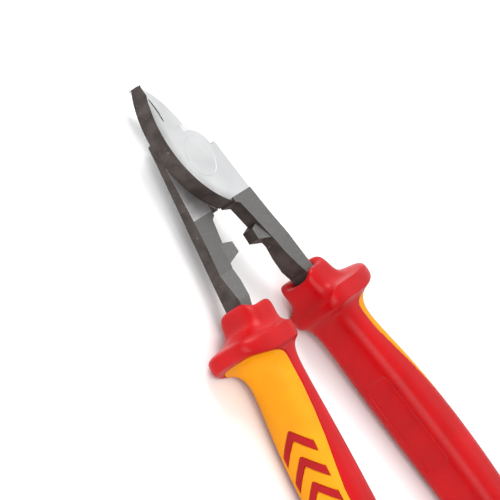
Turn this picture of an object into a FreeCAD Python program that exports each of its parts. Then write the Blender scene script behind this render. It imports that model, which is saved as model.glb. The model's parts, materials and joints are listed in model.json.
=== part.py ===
"""Two-lever insulated cable cutter, 180 mm class, in millimetres.

Each lever is drawn in its own frame: pivot axis on Z, lap plane at Z = 0, blade toward +Y, handle toward +X.
The front lever keeps that frame and the rear one is the same forging turned over about Y, with its blade
set further closed. The shared frame has its origin under the middle of the tool, on the plane it lies on.
"""
import FreeCAD, Part
import Sketcher
import os
from math import atan2, cos, degrees, radians, sin, sqrt

from FreeCAD import Placement, Rotation, Vector

doc = FreeCAD.newDocument("cable_cutter")
sheet = doc.addObject("Spreadsheet::Sheet", "Sizes")

SIZES = {
    # overall
    "reach_front": 27.0,  # pivot to blade tip
    "reach_back": 153.0,  # pivot to the end of the grips
    # blade and hub
    "blade_thick": 5.5,
    "spine_radius": 28.6,
    "edge_radius": 14.0,
    "hub_radius": 11.0,
    "bevel_run": 2.5,  # how far the cutting bevel leans back
    "edge_land": 0.4,  # upright part of the cutting edge
    "rim_run": 2.5,
    "rim_drop": 1.5,
    "blade_lead": 8.0,  # degrees that the rear blade is set closed
    "lap_gap": 0.05,
    # shank and tang
    "forging_step": 0.2,  # forged face above the ground face
    "ground_limit": 15.4,  # pivot to the step
    "cross_start": 33.0,
    "cross_end": 42.0,
    "tang_thick": 6.4,
    "front_tang_low": -1.4,  # the tang's lower face, from the lap plane
    "rear_tang_low": -2.6,
    "front_relief": 1.4,  # how far the shank stands back from the lap plane
    "rear_relief": 0.0,
    "relief_run": 1.2,
    "shank_bevel_place": 9.8,  # outer edge of the rear shank, square off from the pivot
    "shank_bevel_run": 3.4,
    "shank_bevel_drop": 2.4,
    # stop lugs
    "lug_place": 28.0,  # pivot to the lug's middle
    "lug_base": 6.8,
    "lug_nose": 3.6,
    "lug_seat_x": 9.0,
    "lug_nose_x": 5.3,
    "lug_top": 3.6,
    "front_lug_low": -0.3,
    "rear_lug_low": -2.25,
    # rivet
    "rivet_radius": 4.0,
    "head_radius": 6.6,
    "head_depth": 2.6,
    "rivet_clearance": 0.05,
    # grips
    "guard_height": 10.0,  # half of the guard, across the lap plane
    "guard_flat": 0.15,  # taken off the guard's crest, front and back
    "grip_lift": 1.2,  # both grips' middle above the lap plane
    "skin_thick": 1.6,
    "chevron_first": 81.0,
    "chevron_pitch": 8.0,
    "chevron_width": 3.4,
    "chevron_sweep": 6.2,
    "chevron_half": 6.2,
    "stretch_start": 84.0,  # the grip keeps its shape ahead of this and stretches behind it
}
FORMULAS = {
    "pivot_place": "=(reach_back-reach_front)/2",
    "lap_height": "=guard_height-grip_lift",
    "forging_face": "=blade_thick+forging_step",
    "tip_y": "=reach_front",
    "edge_tip_y": "=reach_front-0.5",
    "front_lift": "=grip_lift",
    "rear_lift": "=-grip_lift",
    "front_tang_high": "=front_tang_low+tang_thick",
    "rear_tang_high": "=rear_tang_low+tang_thick",
    "hole_radius": "=rivet_radius+rivet_clearance",
    "sink_radius": "=head_radius+rivet_clearance",
}
CHEVRONS = 6

# corners of the lever outline, in its own frame
CORNERS = {
    "heel": (1.6, -16.2),
    "edge_root": (-3.4, 12.4),
    "neck_in": (2.0, -8.0),
    "heel_root": (2.4, -16.9),
    "inner_a": (4.4, -17.9),
    "inner_b": (8.6, -30.6),
    "inner_c": (10.9, -37.0),
    "inner_d": (15.4, -45.3),
    "tang_in": (22.6, -76.0),
    "tang_out": (27.0, -76.0),
    "outer_d": (20.1, -43.5),
    "outer_c": (15.3, -25.0),
    "outer_b": (13.4, -15.2),
    "outer_a": (12.1, -7.0),
    "shoulder": (10.86, 1.5),
    "neck_out": (5.0, -2.0),
}
TIP_X = -4.0
EDGE_TIP_X = -2.7
THROAT_X = -1.0
HUB_LOW_Y = -7.0
# the rim bevel's middle, round from the shank's side, and how far round it goes, in degrees
RIM_MIDDLE = 50.5
RIM_SPAN = 84.0

# grip sections: distance behind the pivot, centre, reach inward and outward, half height, corner radius
CREST = None  # the guard's own half height, from the sheet
SECTIONS = [
    (42.8, 17.0, 5.6, 6.0, 5.8, 1.8),
    (46.6, 18.0, 6.4, 6.9, 6.6, 2.2),
    (50.3, 19.0, 6.4, 10.2, 7.2, 2.8),
    (52.3, 19.4, 6.9, 16.5, 9.0, 4.6),
    (54.3, 19.8, 7.6, 19.0, CREST, 5.6),
    (57.3, 20.4, 7.9, 18.8, CREST, 5.8),
    (59.3, 20.9, 7.2, 11.5, 9.2, 4.8),
    (61.8, 21.6, 6.6, 7.8, 8.4, 4.4),
    (64.0, 22.1, 6.4, 7.0, 8.0, 4.2),
    (72.0, 24.0, 6.7, 6.7, 8.1, 4.2),
    (84.0, 26.7, 7.4, 7.4, 8.7, 4.4),
    (98.0, 29.2, 8.0, 8.0, 9.0, 4.6),
    (112.0, 31.4, 8.0, 8.0, 9.0, 4.6),
    (128.0, 33.3, 7.6, 7.6, 8.8, 4.4),
    (144.0, 34.2, 7.0, 7.0, 8.2, 4.2),
    (150.5, 34.4, 6.2, 6.2, 7.4, 3.8),
    (153.0, 34.4, 4.0, 4.0, 5.2, 3.0),
]
# where the soft skin ends on the flat sides, outward of the grip's centre
SKIN_EDGE = [(58.3, 5.6), (63.5, 2.6), (71.0, 1.0), (78.0, 1.2), (90.0, 3.0), (104.0, 4.8), (144.0, 4.6)]


def fill_sheet():
    """Writes every size and corner into the sheet under its own name."""
    cells = dict(SIZES)
    cells.update({f"{name}_x": place[0] for name, place in CORNERS.items()})
    cells.update({f"{name}_y": place[1] for name, place in CORNERS.items()})
    cells.update({"tip_x": TIP_X, "edge_tip_x": EDGE_TIP_X, "throat_x": THROAT_X, "hub_low_y": HUB_LOW_Y})
    cells.update(FORMULAS)
    for row, (name, value) in enumerate(cells.items(), 1):
        sheet.set(f"A{row}", name)
        sheet.set(f"B{row}", str(value))
        sheet.setAlias(f"B{row}", name)
    doc.recompute()


def size(name):
    return float(getattr(sheet, name))


def corner(name):
    return Vector(size(f"{name}_x"), size(f"{name}_y"), 0)


def hub_point(name):
    """A corner on the hub's rim, of which the sheet holds one coordinate."""
    rim = size("hub_radius")
    if name == "throat":
        return Vector(size("throat_x"), sqrt(rim**2 - size("throat_x") ** 2), 0)
    return Vector(sqrt(rim**2 - size("hub_low_y") ** 2), size("hub_low_y"), 0)


def bulge(start, end, radius, side):
    """The middle of the arc from start to end, on the left (1) or right (-1) of the way along it."""
    half = (end - start) * 0.5
    rise = radius - sqrt(radius**2 - half.Length**2)
    return start + half + Vector(-half.y, half.x, 0).normalize() * (rise * side)


def sketch_on(body, plane, name, offset=None):
    """A sketch on one of the body's own origin planes."""
    sketch = body.newObject("Sketcher::SketchObject", name)
    base = next(f for f in body.Origin.OriginFeatures if f.Role == plane)
    sketch.AttachmentSupport = (base, "")
    sketch.MapMode = "FlatFace"
    if offset is not None:
        sketch.AttachmentOffset = offset
    return sketch


def bind(sketch, kind, geometry, point, expression, value):
    """A dimension from the sketch's origin to a point, driven by the sheet."""
    index = sketch.addConstraint(Sketcher.Constraint(kind, -1, 1, geometry, point, value))
    sketch.setExpression(f"Constraints[{index}]", expression)


def close_loop(sketch, first, count):
    for i in range(count):
        after = first + (i + 1) % count
        sketch.addConstraint(Sketcher.Constraint("Coincident", first + i, 2, after, 1))


def draw_polygon(sketch, names):
    """A closed outline through named corners, each pinned to its two cells."""
    places = [corner(name) for name in names]
    first = sketch.GeometryCount
    for i, place in enumerate(places):
        sketch.addGeometry(Part.LineSegment(place, places[(i + 1) % len(places)]))
    close_loop(sketch, first, len(places))
    for i, name in enumerate(names):
        bind(sketch, "DistanceX", first + i, 1, f"Sizes.{name}_x", places[i].x)
        bind(sketch, "DistanceY", first + i, 1, f"Sizes.{name}_y", places[i].y)


def draw_points(sketch, points):
    """A closed outline through (x expression, x, y expression, y) points."""
    first = sketch.GeometryCount
    for i, point in enumerate(points):
        after = points[(i + 1) % len(points)]
        sketch.addGeometry(Part.LineSegment(Vector(point[1], point[3], 0), Vector(after[1], after[3], 0)))
    close_loop(sketch, first, len(points))
    for i, (x_cell, x, y_cell, y) in enumerate(points):
        bind(sketch, "DistanceX", first + i, 1, x_cell, x)
        bind(sketch, "DistanceY", first + i, 1, y_cell, y)


def draw_blade(sketch):
    """Hooked blade and hub: spine arc, heel, hub arc, throat and hollow cutting edge."""
    tip = Vector(size("tip_x"), size("tip_y"), 0)
    heel, root, point = corner("heel"), corner("edge_root"), corner("edge_tip")
    low, throat = hub_point("hub_low"), hub_point("throat")
    rim = size("hub_radius")
    rim_side = Vector(rim * cos(radians(25)), rim * sin(radians(25)), 0)
    shapes = [
        Part.Arc(tip, bulge(tip, heel, size("spine_radius"), -1), heel),
        Part.LineSegment(heel, low),
        Part.Arc(low, rim_side, throat),
        Part.LineSegment(throat, root),
        Part.Arc(root, bulge(root, point, size("edge_radius"), 1), point),
        Part.LineSegment(point, tip),
    ]
    for shape in shapes:
        sketch.addGeometry(shape)
    # an arc drawn clockwise is stored the other way round, so its ends swap
    links = [(0, 1, 1, 1), (1, 2, 2, 1), (2, 2, 3, 1), (3, 2, 4, 2), (4, 1, 5, 1), (5, 2, 0, 2)]
    links = [fix_ends(sketch, link) for link in links]
    for link in links:
        sketch.addConstraint(Sketcher.Constraint("Coincident", *link))
    for geometry, radius in ((0, "spine_radius"), (2, "hub_radius"), (4, "edge_radius")):
        index = sketch.addConstraint(Sketcher.Constraint("Radius", geometry, size(radius)))
        sketch.setExpression(f"Constraints[{index}]", f"Sizes.{radius}")
    sketch.addConstraint(Sketcher.Constraint("Coincident", 2, 3, -1, 1))
    bind(sketch, "DistanceX", 1, 1, "Sizes.heel_x", heel.x)
    bind(sketch, "DistanceY", 1, 1, "Sizes.heel_y", heel.y)
    bind(sketch, "DistanceY", 1, 2, "Sizes.hub_low_y", low.y)
    bind(sketch, "DistanceX", 3, 1, "Sizes.throat_x", throat.x)
    bind(sketch, "DistanceX", 3, 2, "Sizes.edge_root_x", root.x)
    bind(sketch, "DistanceY", 3, 2, "Sizes.edge_root_y", root.y)
    bind(sketch, "DistanceX", 5, 1, "Sizes.edge_tip_x", point.x)
    bind(sketch, "DistanceY", 5, 1, "Sizes.edge_tip_y", point.y)
    bind(sketch, "DistanceX", 5, 2, "Sizes.tip_x", tip.x)
    bind(sketch, "DistanceY", 5, 2, "Sizes.tip_y", tip.y)


def fix_ends(sketch, link):
    """Picks, on each of two neighbours, the end that the other one touches."""
    one, _, two, _ = link
    pairs = [(a, b) for a in (1, 2) for b in (1, 2)]
    gap = {pair: (sketch.getPoint(one, pair[0]) - sketch.getPoint(two, pair[1])).Length for pair in pairs}
    a, b = min(pairs, key=gap.get)
    return one, a, two, b


def pad(body, sketch, name, length):
    feature = body.newObject("PartDesign::Pad", name)
    feature.Profile = sketch
    feature.setExpression("Length", length)
    doc.recompute()
    return feature


def pocket_through(body, sketch, name):
    """Cuts a side profile away, right through the lever from its middle both ways."""
    feature = body.newObject("PartDesign::Pocket", name)
    feature.Profile = sketch
    feature.Type = "ThroughAll"
    feature.Midplane = True
    doc.recompute()
    return feature


def groove(body, sketch, name, angle):
    feature = body.newObject("PartDesign::Groove", name)
    feature.Profile = sketch
    feature.ReferenceAxis = (sketch, ["V_Axis"])
    feature.Angle = angle
    feature.Midplane = True
    doc.recompute()
    return feature


def bevel_wire(body, name, level, lean):
    """One end of the wedge that grinds the cutting bevel: the edge's arc, leaned back, out to the throat."""
    sketch = sketch_on(body, "XY_Plane", name, Placement(Vector(0, 0, level), Rotation()))
    root, point = corner("edge_root"), corner("edge_tip")
    radius, past = size("edge_radius"), point.y + 2.0
    chord = point - root
    centre = bulge(root, point, radius, 1) + Vector(chord.y, -chord.x, 0).normalize() * radius
    start = Vector(root.x - lean, root.y - lean * 0.1, 0)
    end = Vector(centre.x - sqrt(radius**2 - (past - centre.y) ** 2) - lean, past, 0)
    middle = bulge(start, end, radius, 1)
    throat, out_x = hub_point("throat"), 6.0
    corners = [end, Vector(out_x, end.y, 0), Vector(out_x, throat.y + 0.6, 0), throat, start]
    sketch.addGeometry(Part.Arc(start, middle, end))
    for one, two in zip(corners, corners[1:]):
        sketch.addGeometry(Part.LineSegment(one, two))
    for i in range(5):
        sketch.addConstraint(Sketcher.Constraint("Coincident", *fix_ends(sketch, (i, 0, (i + 1) % 5, 0))))
    for i in range(5):
        sketch.addConstraint(Sketcher.Constraint("Block", i))
    return sketch


def make_lever(name, label, lead):
    """One forging: blade and hub, shank, tang and stop lug, ground, bored and countersunk."""
    body = doc.addObject("PartDesign::Body", name)
    body.Label = label
    turn = Placement(Vector(), Rotation(Vector(0, 0, 1), -lead))
    blade = sketch_on(body, "XY_Plane", f"{name}_blade", turn)
    draw_blade(blade)
    pad(body, blade, f"{name}_blade_pad", "Sizes.forging_face")

    # the wedges that shape the blade turn with it, so they are cut before the shank is added
    ground = sketch_on(body, "XY_Plane", f"{name}_ground", Placement(Vector(0, 0, 0), Rotation()))
    reach = size("reach_front") * 1.5
    draw_points(
        ground,
        [
            ("-Sizes.reach_front*1.5", -reach, "-Sizes.reach_front*1.5", -reach),
            ("Sizes.reach_front*1.5", reach, "-Sizes.reach_front*1.5", -reach),
            ("Sizes.reach_front*1.5", reach, "Sizes.reach_front*1.5", reach),
            ("-Sizes.reach_front*1.5", -reach, "Sizes.reach_front*1.5", reach),
        ],
    )
    ground.setExpression("AttachmentOffset.Base.z", "Sizes.blade_thick")
    face = body.newObject("PartDesign::Pocket", f"{name}_face")
    face.Profile = ground
    face.Reversed = True
    face.setExpression("Length", "Sizes.forging_step*2")
    doc.recompute()

    wedge = body.newObject("PartDesign::SubtractiveLoft", f"{name}_bevel")
    low = bevel_wire(body, f"{name}_bevel_low", size("edge_land"), 0.0)
    run = size("bevel_run") * (1 + 1 / (size("blade_thick") - size("edge_land")))
    high = bevel_wire(body, f"{name}_bevel_high", size("blade_thick") + 1.0, run)
    for part in (low, high):
        shift = part.AttachmentOffset.Base
        part.AttachmentOffset = turn.multiply(Placement(shift, Rotation()))
    low.setExpression("AttachmentOffset.Base.z", "Sizes.edge_land")
    high.setExpression("AttachmentOffset.Base.z", "Sizes.blade_thick+1")
    wedge.Profile = low
    wedge.Sections = [high]
    wedge.Ruled = True
    doc.recompute()
    return body


def bevel_rim(body, name):
    """Bevels the hub's rim from the shank round to the throat."""
    turn = Placement(Vector(), Rotation(Vector(0, 1, 0), RIM_MIDDLE))
    rim = sketch_on(body, "XZ_Plane", f"{name}_rim", turn)
    edge, run, thick = size("hub_radius"), size("rim_run"), size("blade_thick")
    foot = thick - 2 * size("rim_drop")
    draw_points(
        rim,
        [
            ("Sizes.hub_radius-Sizes.rim_run", edge - run, "Sizes.blade_thick", thick),
            ("Sizes.hub_radius+Sizes.rim_run", edge + run, "Sizes.blade_thick-2*Sizes.rim_drop", foot),
            ("Sizes.hub_radius+Sizes.rim_run", edge + run, "Sizes.blade_thick+1", thick + 1),
            ("Sizes.hub_radius-Sizes.rim_run", edge - run, "Sizes.blade_thick+1", thick + 1),
        ],
    )
    groove(body, rim, f"{name}_rim_cut", RIM_SPAN)


def add_shank(body, name, kind):
    """Shank and tang in plan, cut to their side profile, then the stop lug and the rivet's seat."""
    plan = sketch_on(body, "XY_Plane", f"{name}_plan")
    names = ["neck_in", "heel_root", "inner_a", "inner_b", "inner_c", "inner_d", "tang_in", "tang_out"]
    names += ["outer_d", "outer_c", "outer_b", "outer_a", "shoulder", "neck_out"]
    draw_polygon(plan, names)
    plan.setExpression("AttachmentOffset.Base.z", f"Sizes.{kind}_tang_low")
    pad(body, plan, f"{name}_shank", f"Sizes.forging_face-Sizes.{kind}_tang_low")

    below = sketch_on(body, "YZ_Plane", f"{name}_below")
    start, end, low = -size("cross_start"), -size("cross_end"), size(f"{kind}_tang_low")
    deep, ahead, relief = low - 5, size("reach_front") + 5, size(f"{kind}_relief")
    heel, run = size("heel_root_y"), size("relief_run")
    draw_points(
        below,
        [
            ("Sizes.reach_front+5", ahead, "0", 0.0),
            ("Sizes.heel_root_y", heel, "0", 0.0),
            ("Sizes.heel_root_y-Sizes.relief_run", heel - run, f"Sizes.{kind}_relief", relief),
            ("-Sizes.cross_start", start, f"Sizes.{kind}_relief", relief),
            ("-Sizes.cross_end", end, f"Sizes.{kind}_tang_low", low),
            ("-Sizes.cross_end", end, f"Sizes.{kind}_tang_low-5", deep),
            ("Sizes.reach_front+5", ahead, f"Sizes.{kind}_tang_low-5", deep),
        ],
    )
    pocket_through(body, below, f"{name}_lap")

    above = sketch_on(body, "YZ_Plane", f"{name}_above")
    top, high, over = size("forging_face"), size(f"{kind}_tang_high"), size("forging_face") + 5
    back, ground, flat = -size("reach_back"), -size("ground_limit"), size("blade_thick")
    draw_points(
        above,
        [
            ("Sizes.reach_front+5", ahead, "Sizes.blade_thick", flat),
            ("-Sizes.ground_limit", ground, "Sizes.blade_thick", flat),
            ("-Sizes.ground_limit", ground, "Sizes.forging_face", top),
            ("-Sizes.cross_start", start, "Sizes.forging_face", top),
            ("-Sizes.cross_end", end, f"Sizes.{kind}_tang_high", high),
            ("-Sizes.reach_back", back, f"Sizes.{kind}_tang_high", high),
            ("-Sizes.reach_back", back, "Sizes.forging_face+5", over),
            ("Sizes.reach_front+5", ahead, "Sizes.forging_face+5", over),
        ],
    )
    pocket_through(body, above, f"{name}_top")
    if kind == "rear":
        bevel_back(body, name)

    seat = lug_section(body, f"{name}_lug_seat", "lug_base", "lug_seat_x", f"{kind}_relief", "blade_thick")
    nose = lug_section(body, f"{name}_lug_nose", "lug_nose", "lug_nose_x", f"{kind}_lug_low", "lug_top")
    lug = body.newObject("PartDesign::AdditiveLoft", f"{name}_lug")
    lug.Profile, lug.Sections, lug.Ruled = seat, [nose], True
    doc.recompute()


def bevel_back(body, name):
    """Bevels the outer edge of the shank's back, along the line of that edge."""
    line = corner("outer_d") - corner("outer_b")
    lean = Rotation(Vector(0, 1, 0), degrees(atan2(line.x, -line.y)))
    profile = sketch_on(body, "XZ_Plane", f"{name}_back", Placement(Vector(), lean))
    edge, run, drop = size("shank_bevel_place"), size("shank_bevel_run"), size("shank_bevel_drop")
    top = size("forging_face")
    draw_points(
        profile,
        [
            ("Sizes.shank_bevel_place-Sizes.shank_bevel_run", edge - run, "Sizes.forging_face", top),
            (
                "Sizes.shank_bevel_place+Sizes.shank_bevel_run",
                edge + run,
                "Sizes.forging_face-2*Sizes.shank_bevel_drop",
                top - 2 * drop,
            ),
            ("Sizes.shank_bevel_place+Sizes.shank_bevel_run", edge + run, "Sizes.forging_face+1", top + 1),
            ("Sizes.shank_bevel_place-Sizes.shank_bevel_run", edge - run, "Sizes.forging_face+1", top + 1),
        ],
    )
    pocket_through(body, profile, f"{name}_back_bevel")


def lug_section(body, name, length, place, low, high):
    """One end of the stop lug: an upright rectangle, narrower at the nose than where it leaves the shank."""
    sketch = sketch_on(body, "YZ_Plane", name)
    middle, half = -size("lug_place"), size(length) / 2
    ahead, behind = f"Sizes.{length}/2-Sizes.lug_place", f"-Sizes.lug_place-Sizes.{length}/2"
    draw_points(
        sketch,
        [
            (ahead, middle + half, f"Sizes.{low}", size(low)),
            (ahead, middle + half, f"Sizes.{high}", size(high)),
            (behind, middle - half, f"Sizes.{high}", size(high)),
            (behind, middle - half, f"Sizes.{low}", size(low)),
        ],
    )
    sketch.setExpression("AttachmentOffset.Base.z", f"Sizes.{place}")
    return sketch


def draw_rivet_half(sketch, radius, head, tail):
    """Half of the rivet's outline on one side of the lap plane."""
    thick, depth = size("blade_thick"), size("head_depth")
    draw_points(
        sketch,
        [
            ("0", 0.0, tail, 0.0),
            (f"Sizes.{radius}", size(radius), tail, 0.0),
            (f"Sizes.{radius}", size(radius), "Sizes.blade_thick-Sizes.head_depth", thick - depth),
            (f"Sizes.{head}", size(head), "Sizes.blade_thick", thick),
            ("0", 0.0, "Sizes.blade_thick", thick),
        ],
    )


def bore(body, name, radius, head):
    """The countersunk hole that the rivet fills."""
    seat = sketch_on(body, "XZ_Plane", f"{name}_seat")
    draw_rivet_half(seat, radius, head, "0")
    groove(body, seat, f"{name}_bore", 360.0)


def make_rivet():
    """Solid rivet with a countersunk, flush-ground head at each end."""
    body = doc.addObject("PartDesign::Body", "Rivet")
    body.Label = "pivot_rivet"
    profile = sketch_on(body, "XZ_Plane", "rivet_profile")
    thick, depth, gap = size("blade_thick"), size("head_depth"), size("lap_gap")
    draw_points(
        profile,
        [
            ("0", 0.0, "-Sizes.blade_thick-Sizes.lap_gap", -thick - gap),
            ("Sizes.head_radius", size("head_radius"), "-Sizes.blade_thick-Sizes.lap_gap", -thick - gap),
            (
                "Sizes.rivet_radius",
                size("rivet_radius"),
                "-Sizes.blade_thick-Sizes.lap_gap+Sizes.head_depth",
                depth - thick - gap,
            ),
            ("Sizes.rivet_radius", size("rivet_radius"), "Sizes.blade_thick-Sizes.head_depth", thick - depth),
            ("Sizes.head_radius", size("head_radius"), "Sizes.blade_thick", thick),
            ("0", 0.0, "Sizes.blade_thick", thick),
        ],
    )
    turned = body.newObject("PartDesign::Revolution", "rivet_turned")
    turned.Profile = profile
    turned.ReferenceAxis = (profile, ["V_Axis"])
    turned.Angle = 360.0
    doc.recompute()
    return body


def make_boolean(kind, name, base, tool):
    joined = doc.addObject(f"Part::{kind}", name)
    joined.Base, joined.Tool = base, tool
    return joined


def extrude(name, sketch, direction, length, midplane):
    solid = doc.addObject("Part::Extrusion", name)
    solid.Base = sketch
    solid.DirMode = "Custom"
    solid.Dir = direction
    solid.LengthFwd = length
    solid.Symmetric = midplane
    solid.Solid = True
    return solid


def along(distance):
    """Where a grip section lies: the grip's rear part stretches to reach the end."""
    start, last = size("stretch_start"), SECTIONS[-1][0]
    if distance <= start:
        return -distance
    return -start - (distance - start) * (size("reach_back") - start) / (last - start)


def grip_centre(distance):
    """The centre line's distance from the tool's middle, between the sections."""
    for one, two in zip(SECTIONS, SECTIONS[1:]):
        if one[0] <= distance <= two[0]:
            share = (distance - one[0]) / (two[0] - one[0])
            return one[1] + share * (two[1] - one[1])
    return SECTIONS[-1][1]


def section_sketch(name, row, inset, kind):
    """A rounded rectangle across the grip, dimensioned from the grip's own centre."""
    distance, centre, inward, outward, height, radius = row
    height = size("guard_height") + size("guard_flat") if height is CREST else height
    inward, outward, height, radius = (value - inset for value in (inward, outward, height, radius))
    sketch = doc.addObject("Sketcher::SketchObject", name)
    place = Vector(centre, along(distance), size(f"{kind}_lift"))
    sketch.Placement = Placement(place, Rotation(Vector(1, 0, 0), 90))
    sketch.setExpression("Placement.Base.z", f"Sizes.{kind}_lift")
    turns = [(outward, height, 0), (-inward, height, 90), (-inward, -height, 180), (outward, -height, 270)]
    ends = []
    for x, y, start in turns:
        middle = Vector(x - radius if x > 0 else x + radius, y - radius if y > 0 else y + radius, 0)
        circle = Part.Circle(middle, Vector(0, 0, 1), radius)
        arc = Part.ArcOfCircle(circle, radians(start), radians(start + 90))
        sketch.addGeometry(arc)
        ends.append((arc.StartPoint, arc.EndPoint))
    for i in range(4):
        sketch.addGeometry(Part.LineSegment(ends[i][1], ends[(i + 1) % 4][0]))
    for i in range(4):
        sketch.addConstraint(Sketcher.Constraint("Tangent", i, 2, 4 + i, 1))
        sketch.addConstraint(Sketcher.Constraint("Tangent", 4 + i, 2, (i + 1) % 4, 1))
    for i in range(1, 4):
        sketch.addConstraint(Sketcher.Constraint("Equal", 0, i))
    sketch.addConstraint(Sketcher.Constraint("Horizontal", 4))
    sketch.addConstraint(Sketcher.Constraint("Vertical", 5))
    sketch.addConstraint(Sketcher.Constraint("Radius", 0, radius))
    sketch.addConstraint(Sketcher.Constraint("DistanceX", -1, 1, 7, 1, outward))
    sketch.addConstraint(Sketcher.Constraint("DistanceX", -1, 1, 5, 1, -inward))
    top = sketch.addConstraint(Sketcher.Constraint("DistanceY", -1, 1, 4, 1, height))
    low = sketch.addConstraint(Sketcher.Constraint("DistanceY", -1, 1, 6, 1, -height))
    if row[4] is CREST:
        sketch.setExpression(f"Constraints[{top}]", f"Sizes.guard_height+Sizes.guard_flat-{inset}")
        sketch.setExpression(f"Constraints[{low}]", f"{inset}-Sizes.guard_height-Sizes.guard_flat")
    return sketch


def grip_loft(name, kind, inset, first=0.0):
    """A body through the grip's sections, each drawn in by the inset."""
    rows = [row for row in SECTIONS if row[0] >= first]
    loft = doc.addObject("Part::Loft", name)
    loft.Sections = [section_sketch(f"{name}_{i}", row, inset, kind) for i, row in enumerate(rows)]
    loft.Solid, loft.Ruled = True, True
    return loft


def plan_solid(name, points, length):
    """A plan outline, raised and lowered equally from the lap plane."""
    sketch = doc.addObject("Sketcher::SketchObject", name + "_plan")
    for i, place in enumerate(points):
        sketch.addGeometry(Part.LineSegment(place, points[(i + 1) % len(points)]))
        sketch.addConstraint(Sketcher.Constraint("Block", i))
    solid = extrude(name, sketch, Vector(0, 0, 1), 1.0, True)
    solid.setExpression("LengthFwd", length)
    return solid


def tang_solid(name, kind):
    """The steel inside the grip, from the same corners as the lever's tang."""
    sketch = doc.addObject("Sketcher::SketchObject", name + "_plan")
    draw_polygon(sketch, ["inner_c", "inner_d", "tang_in", "tang_out", "outer_d", "outer_c"])
    sketch.setExpression("Placement.Base.z", f"Sizes.{kind}_tang_low")
    solid = extrude(name, sketch, Vector(0, 0, 1), 1.0, False)
    solid.setExpression("LengthFwd", "Sizes.tang_thick")
    return solid


def chevron_solid(name, number, kind):
    """One V through the outer side of the skin, its point toward the head."""
    start = along(size("chevron_first") + number * size("chevron_pitch"))
    back, width, half = size("chevron_sweep"), size("chevron_width"), size("chevron_half")
    outline = [(0, 0), (back, half), (back + width, half), (width, 0), (back + width, -half), (back, -half)]
    points = [Vector(start - run, rise + size(f"{kind}_lift"), 0) for run, rise in outline]
    sketch = doc.addObject("Sketcher::SketchObject", name + "_side")
    sketch.Placement = Placement(Vector(), Rotation(Vector(1, 1, 1), 120))
    for i, place in enumerate(points):
        sketch.addGeometry(Part.LineSegment(place, points[(i + 1) % len(points)]))
        sketch.addConstraint(Sketcher.Constraint("Block", i))
    return extrude(name, sketch, Vector(1, 0, 0), 60.0, False)


def slab_corners():
    """The corners of a slab that trims the guard's crest flat, wider and longer than the grip."""
    wide, far = size("reach_back") / 2, -size("reach_back") - 5
    return [Vector(0, 0, 0), Vector(0, far, 0), Vector(wide, far, 0), Vector(wide, 0, 0)]


def make_grip(name, label, kind):
    """Hard sleeve with collar and guard, soft skin on the outer side, and chevrons let into the skin."""
    slab = plan_solid(f"{name}_slab", slab_corners(), "Sizes.guard_height*2")
    slab.setExpression("Placement.Base.z", f"Sizes.{kind}_lift")
    form = make_boolean("Common", f"{name}_form", grip_loft(f"{name}_raw", kind, 0.0), slab)
    core = grip_loft(f"{name}_core", kind, size("skin_thick"), 57.0)
    edge = [Vector(grip_centre(place) + out, along(place), 0) for place, out in SKIN_EDGE]
    far = size("guard_height") * 8
    outline = edge + [Vector(far, edge[-1].y, 0), Vector(far, edge[0].y, 0)]
    zone = plan_solid(f"{name}_zone", outline, "Sizes.guard_height*3")
    outside = make_boolean("Common", f"{name}_outside", form, zone)
    shell = make_boolean("Cut", f"{name}_shell", outside, core)
    sleeve = make_boolean("Cut", f"{name}_hollow", form, shell)
    sleeve = make_boolean("Cut", f"{name}_Sleeve", sleeve, tang_solid(f"{name}_tang", kind))
    slots = [chevron_solid(f"{name}_slot_{i}", i, kind) for i in range(CHEVRONS)]
    all_slots = doc.addObject("Part::MultiFuse", f"{name}_slots")
    all_slots.Shapes = slots
    skin = make_boolean("Cut", f"{name}_Skin", shell, all_slots)
    sleeve.Label, skin.Label = f"{label}_sleeve", f"{label}_skin"
    made = [sleeve, skin]
    for i, slot in enumerate(slots):
        chevron = make_boolean("Common", f"{name}_Chevron{i + 1}", shell, slot)
        chevron.Label = f"{label}_chevron_{i + 1}"
        made.append(chevron)
    return made


def settle(item, turned, drop):
    """Puts a finished sub-part at the pivot, turned over about Y for the rear half."""
    item.Placement = Placement(Vector(), Rotation(Vector(0, 1, 0), 180 if turned else 0))
    item.setExpression("Placement.Base.y", "Sizes.pivot_place")
    item.setExpression("Placement.Base.z", "Sizes.lap_height-Sizes.lap_gap" if drop else "Sizes.lap_height")


def check_and_export(items):
    for item in doc.Objects:
        if "Invalid" in item.State or "Error" in item.State:
            raise RuntimeError(f"{item.Name} failed: {item.State}")
    for item in items:
        if item.Shape.isNull() or not item.Shape.isValid() or not item.Shape.Solids:
            raise RuntimeError(f"{item.Label} has no valid solid")
    os.makedirs("parts", exist_ok=True)
    for item in items:
        item.Shape.exportStep(f"parts/{item.Label}.step")


fill_sheet()
front = make_lever("FrontLever", "front_lever", 0.0)
bevel_rim(front, "FrontLever")
add_shank(front, "FrontLever", "front")
bore(front, "FrontLever", "hole_radius", "sink_radius")
rear = make_lever("RearLever", "rear_lever", size("blade_lead"))
add_shank(rear, "RearLever", "rear")
bore(rear, "RearLever", "rivet_radius", "head_radius")
rivet = make_rivet()
front_grip = make_grip("FrontGrip", "front_grip", "front")
rear_grip = make_grip("RearGrip", "rear_grip", "rear")
doc.recompute()

for item in [front, rivet]:
    settle(item, False, False)
settle(rear, True, True)
for item in front_grip:
    settle(item, False, False)
for item in rear_grip:
    settle(item, True, True)
doc.recompute()
check_and_export([front, rear, rivet] + front_grip + rear_grip)
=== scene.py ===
"""Looks of the cable cutter: forged levers with ground faces, rivet, and two-part moulded grips."""
import json
import math

import bmesh
import bpy
import numpy as np
from mathutils import Matrix, Vector


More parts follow.
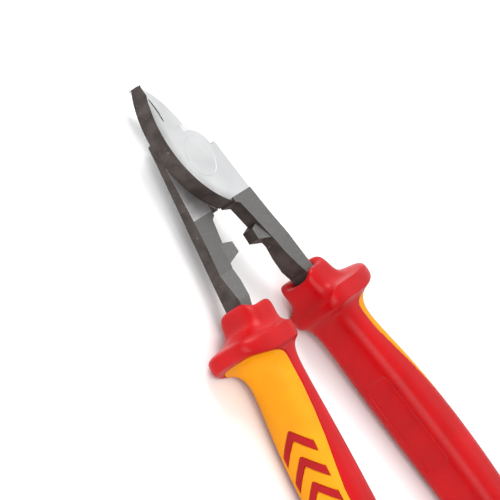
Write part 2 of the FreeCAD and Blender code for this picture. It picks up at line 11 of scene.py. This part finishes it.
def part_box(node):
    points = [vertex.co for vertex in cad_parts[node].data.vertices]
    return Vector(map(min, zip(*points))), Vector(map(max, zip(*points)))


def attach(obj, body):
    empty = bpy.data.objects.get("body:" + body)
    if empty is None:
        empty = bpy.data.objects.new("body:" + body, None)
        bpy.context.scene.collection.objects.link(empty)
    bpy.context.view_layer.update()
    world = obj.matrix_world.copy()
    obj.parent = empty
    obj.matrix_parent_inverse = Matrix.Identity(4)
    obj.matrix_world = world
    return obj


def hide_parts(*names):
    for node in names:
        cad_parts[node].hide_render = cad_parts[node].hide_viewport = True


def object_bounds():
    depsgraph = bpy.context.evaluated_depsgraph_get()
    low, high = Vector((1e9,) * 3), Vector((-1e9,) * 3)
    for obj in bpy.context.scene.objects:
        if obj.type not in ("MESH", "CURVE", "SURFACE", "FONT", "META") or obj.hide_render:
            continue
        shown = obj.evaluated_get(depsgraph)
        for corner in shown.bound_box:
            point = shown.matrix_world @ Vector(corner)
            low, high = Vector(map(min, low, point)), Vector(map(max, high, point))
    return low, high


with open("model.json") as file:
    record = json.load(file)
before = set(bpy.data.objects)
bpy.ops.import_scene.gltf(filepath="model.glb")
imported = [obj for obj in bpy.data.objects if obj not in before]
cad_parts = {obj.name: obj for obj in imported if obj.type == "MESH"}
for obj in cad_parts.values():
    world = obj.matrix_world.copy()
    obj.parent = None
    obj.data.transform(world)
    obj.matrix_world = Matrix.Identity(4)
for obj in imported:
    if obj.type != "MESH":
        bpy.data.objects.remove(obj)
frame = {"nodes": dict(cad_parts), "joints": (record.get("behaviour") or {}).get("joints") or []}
cad_box = [list(corner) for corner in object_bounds()]

MM = 0.001
PIVOT = np.array(frame["joints"][0]["pos_m"]) / MM
LAP = PIVOT[2]
GRIP_LOW, GRIP_HIGH = (corner.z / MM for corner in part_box("front_grip_sleeve"))
LIFT = (GRIP_LOW + GRIP_HIGH) / 2 - LAP  # the grips' middle above the lap plane
GUARD = (GRIP_HIGH - GRIP_LOW) / 2  # half the guard's height
LAP_GAP = 0.05  # between the two levers' faces
GROUND_LIMIT = 15.4  # pivot to the step where the ground face ends
SPINE_CENTRE = PIVOT[:2] + (17.3, 7.9)
SPINE_RADIUS = 28.6
GROUND_METAL = 0.9

# ---------------------------------------------------------------- node helpers


class Nodes:
    """A material's node tree, built by short calls."""

    def __init__(self, name):
        self.material = bpy.data.materials.new(name)
        self.material.use_nodes = True
        self.tree = self.material.node_tree
        self.shader = self.tree.nodes["Principled BSDF"]
        self.place = self.tree.nodes.new("ShaderNodeTexCoord").outputs["Object"]

    def add(self, kind, **inputs):
        node = self.tree.nodes.new(kind)
        for name, value in inputs.items():
            self.put(node, name, value)
        return node

    def put(self, node, name, value):
        socket = node.inputs[name.replace("_", " ")]
        if isinstance(value, bpy.types.NodeSocket):
            self.tree.links.new(value, socket)
        else:
            socket.default_value = value

    def noise(self, scale, detail=3.0, stretch=None, roughness=0.5):
        place = self.place
        if stretch is not None:
            mapping = self.add("ShaderNodeMapping", Vector=place)
            mapping.inputs["Scale"].default_value = stretch
            mapping.inputs["Rotation"].default_value = (0.0, 0.0, math.radians(38))
            place = mapping.outputs["Vector"]
        node = self.add("ShaderNodeTexNoise", Vector=place, Scale=scale, Detail=detail, Roughness=roughness)
        return node.outputs["Fac"]

    def ramp(self, fac, low, high, start=0.35, end=0.65):
        """A value or colour that runs from low to high as fac goes from start to end."""
        node = self.add("ShaderNodeValToRGB", Fac=fac)
        node.color_ramp.elements[0].position = start
        node.color_ramp.elements[1].position = end
        node.color_ramp.elements[0].color = low if isinstance(low, tuple) else (low, low, low, 1)
        node.color_ramp.elements[1].color = high if isinstance(high, tuple) else (high, high, high, 1)
        return node.outputs["Color"]

    def math(self, operation, one, two=0.0, clamp=False):
        node = self.tree.nodes.new("ShaderNodeMath")
        node.operation, node.use_clamp = operation, clamp
        for socket, value in zip(node.inputs, (one, two)):
            if isinstance(value, bpy.types.NodeSocket):
                self.tree.links.new(value, socket)
            else:
                socket.default_value = value
        return node.outputs[0]

    def mix(self, share, one, two):
        node = self.tree.nodes.new("ShaderNodeMix")
        node.data_type = "RGBA"
        # sockets 0, 6 and 7 are the factor and the two colours
        for index, value in ((0, share), (6, one), (7, two)):
            if isinstance(value, bpy.types.NodeSocket):
                self.tree.links.new(value, node.inputs[index])
            else:
                node.inputs[index].default_value = value
        return node.outputs[2]

    def split(self, vector):
        return self.add("ShaderNodeSeparateXYZ", Vector=vector).outputs

    def bump(self, height, strength, distance, under=None):
        node = self.add("ShaderNodeBump", Height=height, Strength=strength, Distance=distance)
        if under is not None:
            self.put(node, "Normal", under)
        return node.outputs["Normal"]

    def finish(self, **inputs):
        for name, value in inputs.items():
            self.put(self.shader, name, value)
        return self.material


def step(nodes, value, edge, width):
    """0 below the edge and 1 above it, over a short width."""
    shifted = nodes.math("SUBTRACT", value, edge)
    return nodes.math("ADD", nodes.math("DIVIDE", shifted, width), 0.5, clamp=True)


def squared(nodes, value, centre):
    """The square of a coordinate's distance, in metres, from a centre in millimetres."""
    away = nodes.math("SUBTRACT", value, float(centre) * MM)
    return nodes.math("MULTIPLY", away, away)


# ---------------------------------------------------------------- materials


def ground_steel(nodes):
    """Colour, roughness and normal of a surface-ground face: fine lines under a cloudy tone."""
    lines = nodes.noise(2600.0, 2.0, stretch=(0.05, 3.0, 1.0))
    clouds = nodes.ramp(nodes.noise(70.0, 3.0), (0.66, 0.665, 0.67, 1), (0.78, 0.785, 0.79, 1))
    colour = nodes.mix(nodes.math("MULTIPLY", lines, 0.16), clouds, (0.50, 0.50, 0.51, 1))
    return colour, nodes.ramp(lines, 0.34, 0.46), nodes.bump(lines, 0.05, 0.01 * MM)


def lever_material():
    """Black-oxide forging, ground bright on the blade's flat faces, with painted shade along the spine edge
    of the ground face.
    """
    nodes = Nodes("lever_steel")
    x, y, _ = nodes.split(nodes.place)
    normal = nodes.add("ShaderNodeNewGeometry").outputs["Normal"]
    facing = nodes.math("ABSOLUTE", nodes.split(normal)[2])
    ahead = step(nodes, y, (PIVOT[1] - GROUND_LIMIT) * MM, 0.1 * MM)
    flat = step(nodes, facing, 0.36, 0.1)
    bright = nodes.math("MULTIPLY", ahead, flat)

    patches = nodes.noise(260.0, 5.0)
    speckle = nodes.noise(2400.0, 4.0)
    grain = nodes.noise(5200.0, 2.0)
    oxide = nodes.ramp(patches, (0.034, 0.025, 0.022, 1), (0.066, 0.053, 0.048, 1))
    top = nodes.ramp(speckle, (0.10, 0.098, 0.094, 1), (0.155, 0.152, 0.147, 1))
    forged = nodes.mix(flat, oxide, top)
    worn = nodes.math("MULTIPLY", nodes.ramp(nodes.noise(900.0, 6.0), 0.0, 1.0, 0.66, 0.74), 0.35)
    forged = nodes.mix(worn, forged, (0.36, 0.35, 0.33, 1))

    steel, smooth_rough, cuts = ground_steel(nodes)
    # painted shade: the ground face is darkened in a patchy band along the spine edge, standing in for the
    # spine wall's shade
    from_spine = nodes.math("ADD", squared(nodes, x, SPINE_CENTRE[0]), squared(nodes, y, SPINE_CENTRE[1]))
    from_spine = nodes.math("SQRT", from_spine)
    spine_shade = step(nodes, from_spine, (SPINE_RADIUS - 1.6) * MM, 3.2 * MM)
    spine_shade = nodes.math("MULTIPLY", spine_shade, nodes.ramp(nodes.noise(160.0, 4.0), 0.25, 0.75))
    steel = nodes.mix(spine_shade, steel, (0.34, 0.33, 0.33, 1))
    colour = nodes.mix(bright, forged, steel)
    roughness = nodes.mix(bright, nodes.ramp(speckle, 0.50, 0.66), smooth_rough)
    metal = nodes.math("ADD", nodes.math("MULTIPLY", bright, GROUND_METAL - 0.5), 0.5)
    pits = nodes.bump(speckle, 0.35, 0.05 * MM)
    pits = nodes.bump(grain, 0.3, 0.02 * MM, pits)
    normals = nodes.mix(bright, pits, cuts)
    return nodes.finish(Base_Color=colour, Metallic=metal, Roughness=roughness, Normal=normals)


def rivet_material():
    """Rivet heads ground flush with the blade face, with faint turning rings about the pivot."""
    nodes = Nodes("rivet_ground_steel")
    mapping = nodes.add("ShaderNodeMapping", Vector=nodes.place)
    mapping.inputs["Location"].default_value = (-PIVOT[0] * MM, -PIVOT[1] * MM, -LAP * MM)
    rings = nodes.add("ShaderNodeTexWave", Vector=mapping.outputs["Vector"], Scale=900.0, Distortion=1.5)
    rings.wave_type, rings.rings_direction = "RINGS", "Z"
    colour, roughness, normal = ground_steel(nodes)
    normal = nodes.bump(rings.outputs["Fac"], 0.02, 0.01 * MM, normal)
    nodes.shader.inputs["Metallic"].default_value = GROUND_METAL
    return nodes.finish(Base_Color=colour, Roughness=roughness, Normal=normal)


def plastic_material(name, deep, lit, rough, fine):
    """Moulded plastic: spark-eroded texture, faint colour drift and handling polish."""
    nodes = Nodes(name)
    drift = nodes.noise(90.0, 4.0)
    skin = nodes.noise(fine, 3.0)
    scuffs = nodes.noise(700.0, 6.0, stretch=(0.2, 2.4, 1.0))
    colour = nodes.ramp(drift, deep, lit)
    roughness = nodes.ramp(scuffs, rough - 0.05, rough + 0.07)
    normal = nodes.bump(skin, 0.22, 0.03 * MM)
    normal = nodes.bump(nodes.noise(fine * 0.12, 2.0), 0.1, 0.08 * MM, normal)
    nodes.shader.inputs["Specular IOR Level"].default_value = 0.2
    return nodes.finish(Base_Color=colour, Roughness=roughness, Normal=normal)


# ---------------------------------------------------------------- grip surface

# Rows along the grip, as control points of a smooth surface. Each holds the outer side's distance behind
# the pivot and its reach, the same two for the inner side, the front and back faces' distance and half
# height, the centre line's distance from the tool's middle, and the squareness.
ROWS = np.array(
    [
        (46.0, 2.4, 49.7, 2.4, 47.8, 2.8, 18.3, 4.0),
        (44.1, 3.4, 48.6, 3.2, 46.2, 3.6, 17.9, 4.2),
        (43.1, 4.5, 47.8, 3.9, 45.4, 4.4, 17.6, 4.6),
        (42.8, 6.2, 47.6, 5.4, 45.1, 5.9, 17.6, 4.8),
        (43.5, 7.0, 48.2, 6.2, 45.7, 6.6, 17.9, 4.8),
        (46.0, 7.3, 50.2, 6.5, 48.0, 6.9, 18.6, 4.6),
        (48.6, 7.6, 52.6, 6.6, 50.2, 7.0, 19.3, 4.4),
        (50.2, 9.4, 54.8, 6.9, 52.3, 7.6, 19.8, 4.2),
        (50.9, 14.0, 55.9, 7.5, 53.5, 9.2, 20.1, 4.2),
        (51.3, 19.4, 56.6, 8.4, 54.2, 10.6, 20.2, 4.2),
        (52.5, 20.2, 57.6, 8.6, 55.2, 10.8, 20.3, 4.2),
        (55.2, 20.2, 59.1, 8.6, 57.4, 10.8, 20.5, 4.2),
        (56.6, 18.8, 60.0, 8.1, 58.7, 10.4, 20.8, 4.0),
        (57.4, 14.0, 60.8, 7.1, 59.8, 8.9, 21.1, 3.6),
        (58.8, 10.2, 62.0, 6.6, 61.4, 8.2, 21.5, 3.3),
        (62.2, 7.5, 64.2, 6.4, 64.0, 7.8, 22.1, 3.2),
        (67.0, 6.5, 67.0, 6.5, 67.0, 7.8, 22.9, 3.2),
        (74.0, 6.7, 74.0, 6.7, 74.0, 8.1, 24.4, 3.2),
        (84.0, 7.4, 84.0, 7.4, 84.0, 8.7, 26.7, 3.2),
        (98.0, 8.0, 98.0, 8.0, 98.0, 9.0, 29.2, 3.2),
        (112.0, 8.0, 112.0, 8.0, 112.0, 9.0, 31.4, 3.2),
        (128.0, 7.6, 128.0, 7.6, 128.0, 8.8, 33.3, 3.2),
        (141.0, 7.1, 141.0, 7.1, 141.0, 8.3, 34.1, 3.1),
        (148.5, 6.6, 148.5, 6.6, 148.5, 7.8, 34.3, 3.0),
        (152.2, 5.4, 152.2, 5.4, 152.2, 6.4, 34.4, 2.8),
        (153.0, 3.2, 153.0, 3.2, 153.0, 4.0, 34.4, 2.5),
        (153.0, 0.02, 153.0, 0.02, 153.0, 0.02, 34.4, 2.0),
    ]
)
LAST = len(ROWS) - 1
HEAD_ROWS = 16  # rows of the collar and guard, meshed more finely than the rest
SKIN_DEPTH = 1.5
SKIN_GAP = 0.05
SKIN_FRONT = 12.7  # row where the skin starts, on the back of the guard
SKIN_BACK_AT = 144.0
# about how many millimetres of surface lie in a radian round the grip, and in a row at the skin's two ends
PER_RADIAN, PER_FRONT_ROW, PER_BACK_ROW = 9.0, 2.4, 11.0
# half of the skin's width, as an angle round the grip, at distances behind the pivot
SKIN_WIDTH = ([56.0, 64.0, 72.0, 80.0, 88.0, 96.0, 104.0, 128.0, 146.0],
              [82.0, 86.0, 87.0, 83.0, 75.0, 63.0, 52.0, 49.0, 54.0])
CHEVRONS = dict(count=6, first=81.0, pitch=8.0, width=3.4, sweep=6.2, half=6.2)
CHEVRON_SLOPE = CHEVRONS["sweep"] / CHEVRONS["half"]
CHEVRON_LEAN = 1 / math.hypot(1, CHEVRON_SLOPE)
LABEL = dict(start=84.0, end=116.0, half=4.6, depth=0.45)


def row_values(t):
    """Cubic B-spline through the rows' control points, passing through the first and last."""
    ends = [2 * ROWS[0] - ROWS[1], 2 * ROWS[-1] - ROWS[-2]]
    padded = np.vstack([ends[0], ROWS, ends[1]])
    t = np.clip(np.asarray(t, float), 0, LAST - 1e-6)
    i = t.astype(int)
    f = (t - i)[..., None]
    weights = ((1 - f) ** 3, 3 * f**3 - 6 * f**2 + 4, -3 * f**3 + 3 * f**2 + 3 * f + 1, f**3)
    return sum(w * padded[i + k] for k, w in enumerate(weights)) / 6


def grip_point(t, angle):
    """Points on the grip's bare form. Angle 0 faces outward, 90 degrees faces the front."""
    d_out, out, d_in, inner, d_top, height, centre, power = np.moveaxis(row_values(t), -1, 0)
    height = np.minimum(height, GUARD - 0.02)
    c, s = np.cos(angle), np.sin(angle)
    outward = c > 0
    reach = np.where(outward, out, inner)
    x = centre + reach * np.sign(c) * np.abs(c) ** (2 / power)
    z = height * np.sign(s) * np.abs(s) ** (2 / power)
    d = np.where(outward, d_out, d_in) * c**2 + d_top * s**2
    return np.stack([x, PIVOT[1] - d, LAP + z], -1)


def grip_normal(t, angle):
    e = 1e-3
    along = grip_point(t + e, angle) - grip_point(t - e, angle)
    round_ = grip_point(t, angle + e) - grip_point(t, angle - e)
    n = np.cross(round_, along)
    return n / np.maximum(np.linalg.norm(n, axis=-1, keepdims=True), 1e-9)


TABLE_T = np.linspace(15.5, LAST - 0.5, 800)
TABLE_D = row_values(TABLE_T)[:, 4]


def row_at(distance):
    """The row number at a distance behind the pivot, behind the guard."""
    return np.interp(distance, TABLE_D, TABLE_T)


SKIN_BACK = float(row_at(SKIN_BACK_AT))


def smooth(low, high, value):
    f = np.clip((value - low) / (high - low), 0, 1)
    return f * f * (3 - 2 * f)


def skin_half(t):
    """Half of the skin's angle at a row, narrowed round its four corners."""
    distance = row_values(t)[..., 4]
    half = np.radians(np.interp(distance, *SKIN_WIDTH))
    front = np.clip((np.asarray(t, float) - SKIN_FRONT) / 1.6, 0, 1)
    back = np.clip((SKIN_BACK - np.asarray(t, float)) / 0.5, 0, 1)
    pinch = 0.42 * (1 - np.sqrt(1 - (1 - front) ** 2)) + 0.3 * (1 - np.sqrt(1 - (1 - back) ** 2))
    return half - pinch


def chevron_depth(point):
    """How far inside a chevron's outline a point on the outer side lies, in millimetres."""
    d, z = PIVOT[1] - point[..., 1], np.abs(point[..., 2] - LAP)
    best = np.full(d.shape, -9.0)
    for i in range(CHEVRONS["count"]):
        middle = CHEVRONS["first"] + i * CHEVRONS["pitch"] + CHEVRON_SLOPE * z + CHEVRONS["width"] / 2
        across = (CHEVRONS["width"] / 2 - np.abs(d - middle)) * CHEVRON_LEAN
        best = np.maximum(best, np.minimum(across, CHEVRONS["half"] - z))
    return best


def label_depth(point, angle):
    """The shallow blank recess on the inner side."""
    d, z = PIVOT[1] - point[..., 1], np.abs(point[..., 2] - LAP)
    corner = 2.0
    middle, half = (LABEL["start"] + LABEL["end"]) / 2, (LABEL["end"] - LABEL["start"]) / 2
    over_d, over_z = np.abs(d - middle) - (half - corner), z - (LABEL["half"] - corner)
    outside = np.hypot(np.maximum(over_d, 0), np.maximum(over_z, 0))
    outside = outside + np.minimum(np.maximum(over_d, over_z), 0)
    inside = smooth(0.0, 0.35, corner - outside)
    return np.where(np.cos(angle) < 0, inside * LABEL["depth"], 0.0)


# ---------------------------------------------------------------- meshes


def make_piece(name, points, faces, material, body, slot, turned):
    """A piece in millimetres, turned over about the tool's middle for the rear half."""
    points = np.array(points, float).reshape(-1, 3)
    if turned:
        points = points * (-1, 1, -1) + (0, 0, 2 * LAP - LAP_GAP)
    points = points + (0, 0, LIFT)
    mesh = bpy.data.meshes.new(name)
    mesh.from_pydata((points * MM).tolist(), [], faces)
    work = bmesh.new()
    work.from_mesh(mesh)
    bmesh.ops.remove_doubles(work, verts=work.verts, dist=1e-6)
    bmesh.ops.dissolve_degenerate(work, edges=work.edges, dist=1e-7)
    bmesh.ops.recalc_face_normals(work, faces=work.faces)
    work.to_mesh(mesh)
    work.free()
    mesh.shade_smooth()
    mesh.materials.append(material)
    piece = bpy.data.objects.new(name, mesh)
    bpy.context.scene.collection.objects.link(piece)
    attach(piece, body)
    return piece


def grid_faces(rows, columns, offset=0, closed=False):
    faces = []
    for i in range(rows - 1):
        for j in range(columns if closed else columns - 1):
            k = (j + 1) % columns
            faces.append((offset + i * columns + j, offset + i * columns + k,
                          offset + (i + 1) * columns + k, offset + (i + 1) * columns + j))
    return faces


def patch_solid(top, bottom):
    """A closed solid between two grids of points with the same layout."""
    rows, columns = top.shape[:2]
    count = rows * columns
    points = np.concatenate([top.reshape(-1, 3), bottom.reshape(-1, 3)])
    faces = grid_faces(rows, columns)
    faces += [tuple(reversed(face)) for face in grid_faces(rows, columns, count)]
    rim = [(0, j) for j in range(columns)] + [(i, columns - 1) for i in range(1, rows)]
    rim += [(rows - 1, j) for j in range(columns - 2, -1, -1)] + [(i, 0) for i in range(rows - 2, 0, -1)]
    ids = [i * columns + j for i, j in rim]
    faces += [(a, b, b + count, a + count) for a, b in zip(ids, ids[1:] + ids[:1])]
    return points, faces


def edge_roll(distance, radius, drop):
    """How far the surface has rolled down at a distance from its edge."""
    f = np.clip(1 - distance / radius, 0, 1)
    return drop * (1 - np.sqrt(1 - f**2))


def make_sleeve(half, body, material, turned):
    """Hard sleeve: collar, guard, inner side and butt, let down under the skin."""
    t = np.concatenate([np.linspace(0, HEAD_ROWS, 170, endpoint=False),
                        np.linspace(HEAD_ROWS, LAST - 1, 230, endpoint=False),
                        np.linspace(LAST - 1, LAST, 12)])
    angle = np.linspace(-math.pi, math.pi, 224, endpoint=False)
    tt, aa = np.meshgrid(t, angle, indexing="ij")
    points = grip_point(tt, aa)
    normals = grip_normal(tt, aa)
    side = (skin_half(tt) - np.abs(aa)) * PER_RADIAN
    front, back = (tt - SKIN_FRONT) * PER_FRONT_ROW, (SKIN_BACK - tt) * PER_BACK_ROW
    inside = np.minimum(np.minimum(side, front), back)
    sunk = SKIN_DEPTH * smooth(-0.1, 0.25, inside) + label_depth(points, aa)
    points = points - normals * sunk[..., None]
    faces = grid_faces(len(t), len(angle), closed=True)
    faces.append(tuple(range(len(angle))))
    piece = make_piece(f"{half}_grip_hard", points, faces, material, body, "hard_red", turned)
    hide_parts(f"{half}_grip_sleeve")


def make_skin(half, body, material, turned):
    """Soft skin: fills the let-down zone flush, with rolled edges and a pocket for each chevron."""
    a = np.concatenate([np.linspace(0, 0.03, 8, endpoint=False), np.linspace(0.03, 0.97, 420, endpoint=False),
                        np.linspace(0.97, 1, 8)])
    b = np.sin(np.linspace(-1, 1, 150) * math.pi / 2 * 0.96) / math.sin(math.pi / 2 * 0.96)
    front_gap, back_gap = SKIN_GAP / PER_FRONT_ROW, SKIN_GAP / PER_BACK_ROW
    t = SKIN_FRONT + front_gap + a * (SKIN_BACK - SKIN_FRONT - front_gap - back_gap)
    tt, bb = np.meshgrid(t, b, indexing="ij")
    half_angle = skin_half(tt) - SKIN_GAP / PER_RADIAN
    aa = bb * half_angle
    points, normals = grip_point(tt, aa), grip_normal(tt, aa)
    side = (half_angle - np.abs(aa)) * PER_RADIAN
    edge = np.minimum(np.minimum(side, (tt - t[0]) * PER_FRONT_ROW), (t[-1] - tt) * PER_BACK_ROW)
    sunk = edge_roll(edge, 0.45, 0.35) + 0.55 * smooth(-0.12, 0.06, chevron_depth(points))
    top = points - normals * sunk[..., None]
    bottom = points - normals * (SKIN_DEPTH - 0.08)
    solid = patch_solid(top, bottom)
    piece = make_piece(f"{half}_grip_soft", *solid, material, body, "soft_yellow", turned)
    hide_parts(f"{half}_grip_skin")


def make_chevron(half, body, material, turned, number):
    """One V, its point toward the head, seated in its pocket with a fine line round it."""
    gap = 0.09
    reach = CHEVRONS["half"] - gap
    start = CHEVRONS["first"] + number * CHEVRONS["pitch"]
    margin = gap / CHEVRON_LEAN
    across = np.linspace(0, 1, 15)
    z = reach * np.linspace(-1, 1, 61)
    uu, zz = np.meshgrid(across, z, indexing="ij")
    d = start + CHEVRON_SLOPE * np.abs(zz) + margin + uu * (CHEVRONS["width"] - 2 * margin)
    t = row_at(d)
    values = row_values(t)
    angle = np.arcsin(np.clip(np.abs(zz) / values[..., 5], 0, 1) ** (values[..., 7] / 2)) * np.sign(zz)
    points, normals = grip_point(t, angle), grip_normal(t, angle)
    edge = np.minimum(np.minimum(uu, 1 - uu) * CHEVRONS["width"] * CHEVRON_LEAN, reach - np.abs(zz))
    top = points - normals * (edge_roll(edge, 0.3, 0.18) - 0.03)[..., None]
    bottom = points - normals * 1.1
    solid = patch_solid(top, bottom)
    piece = make_piece(f"{half}_grip_v{number + 1}", *solid, material, body, "chevron_red", turned)
    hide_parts(f"{half}_grip_chevron_{number + 1}")


def finish_steel(node, material, width):
    """Merges the node's flat faces and rounds its edges, by modifiers only."""
    piece = frame["nodes"][node]
    piece.data.materials.clear()
    piece.data.materials.append(material)
    weld = piece.modifiers.new("weld", "WELD")
    weld.merge_threshold = 1e-6
    flat = piece.modifiers.new("flat", "DECIMATE")
    flat.decimate_type, flat.angle_limit = "DISSOLVE", math.radians(0.6)
    bevel = piece.modifiers.new("bevel", "BEVEL")
    bevel.width, bevel.segments = width * MM, 3
    bevel.limit_method, bevel.angle_limit = "ANGLE", math.radians(28)
    bevel.harden_normals = True
    piece.modifiers.new("normals", "WEIGHTED_NORMAL").keep_sharp = True


# ---------------------------------------------------------------- the object

red = plastic_material("hard_red_plastic", (0.38, 0.0, 0.002, 1), (0.46, 0.0005, 0.003, 1), 0.34, 4200.0)
yellow = plastic_material("soft_yellow_skin", (0.66, 0.245, 0.0, 1), (0.74, 0.285, 0.0, 1), 0.52, 5200.0)
inlay = plastic_material("chevron_red_plastic", (0.30, 0.001, 0.003, 1), (0.36, 0.002, 0.005, 1),
                         0.40, 4200.0)

forged = lever_material()
finish_steel("front_lever", forged, 0.22)
finish_steel("rear_lever", forged, 0.22)
finish_steel("pivot_rivet", rivet_material(), 0.04)

for half, turned in (("front", False), ("rear", True)):
    body = f"{half}_half"
    make_sleeve(half, body, red, turned)
    make_skin(half, body, yellow, turned)
    for number in range(CHEVRONS["count"]):
        make_chevron(half, body, inlay, turned, number)

# ---------------------------------------------------------------- floor, light and camera


def make_floor():
    """Plain pale ground under the tool."""
    size = 3.0
    work = bmesh.new()
    bmesh.ops.create_grid(work, x_segments=8, y_segments=8, size=size)
    mesh = bpy.data.meshes.new("floor")
    work.to_mesh(mesh)
    work.free()
    floor = bpy.data.objects.new("floor", mesh)
    floor.location.z = cad_box[0][2] - 0.0002
    bpy.context.scene.collection.objects.link(floor)
    nodes = Nodes("pale_floor")
    tone = nodes.ramp(nodes.noise(3.0, 2.0), (0.86, 0.86, 0.86, 1), (0.9, 0.9, 0.9, 1))
    mesh.materials.append(nodes.finish(Base_Color=tone, Roughness=0.9))


def add_light(name, place, size, power, target):
    data = bpy.data.lights.new(name, "AREA")
    data.shape, data.size, data.size_y, data.energy = "RECTANGLE", size[0], size[1], power
    light = bpy.data.objects.new(name, data)
    light.location = place
    light.rotation_mode = "QUATERNION"
    light.rotation_quaternion = (Vector(target) - Vector(place)).to_track_quat("-Z", "Y")
    bpy.context.scene.collection.objects.link(light)


def add_camera():
    """Left of the tool, 33 degrees above the lap plane, rolled so that the head points up and left."""
    right = Vector((0.458, -0.54, 0.705)).normalized()
    back = Vector((-0.839, 0.0, 0.545)).normalized()
    up = back.cross(right).normalized()
    right = up.cross(back)
    distance, view = 1.8, 0.147
    target = (Vector(PIVOT) * MM) + right * 0.0185 - up * 0.0252
    data = bpy.data.cameras.new("camera")
    data.sensor_width = 36.0
    data.lens = data.sensor_width * distance / view
    data.clip_start, data.clip_end = 0.01, 20.0
    camera = bpy.data.objects.new("camera", data)
    rotation = Matrix((right, up, back)).transposed().to_4x4()
    camera.matrix_world = Matrix.Translation(target + back * distance) @ rotation
    bpy.context.scene.collection.objects.link(camera)
    bpy.context.scene.camera = camera


make_floor()
middle = (0.0, 0.03, 0.01)
add_light("key", (0.25, 0.75, 0.75), (0.7, 0.7), 9.0, middle)
add_light("fill", (-0.8, -0.1, 0.7), (0.8, 0.8), 7.0, middle)
world = bpy.data.worlds.new("studio")
world.use_nodes = True
world.node_tree.nodes["Background"].inputs["Color"].default_value = (1.0, 1.0, 1.0, 1)
world.node_tree.nodes["Background"].inputs["Strength"].default_value = 0.9
bpy.context.scene.world = world
bpy.context.scene.view_settings.view_transform = "Standard"
add_camera()
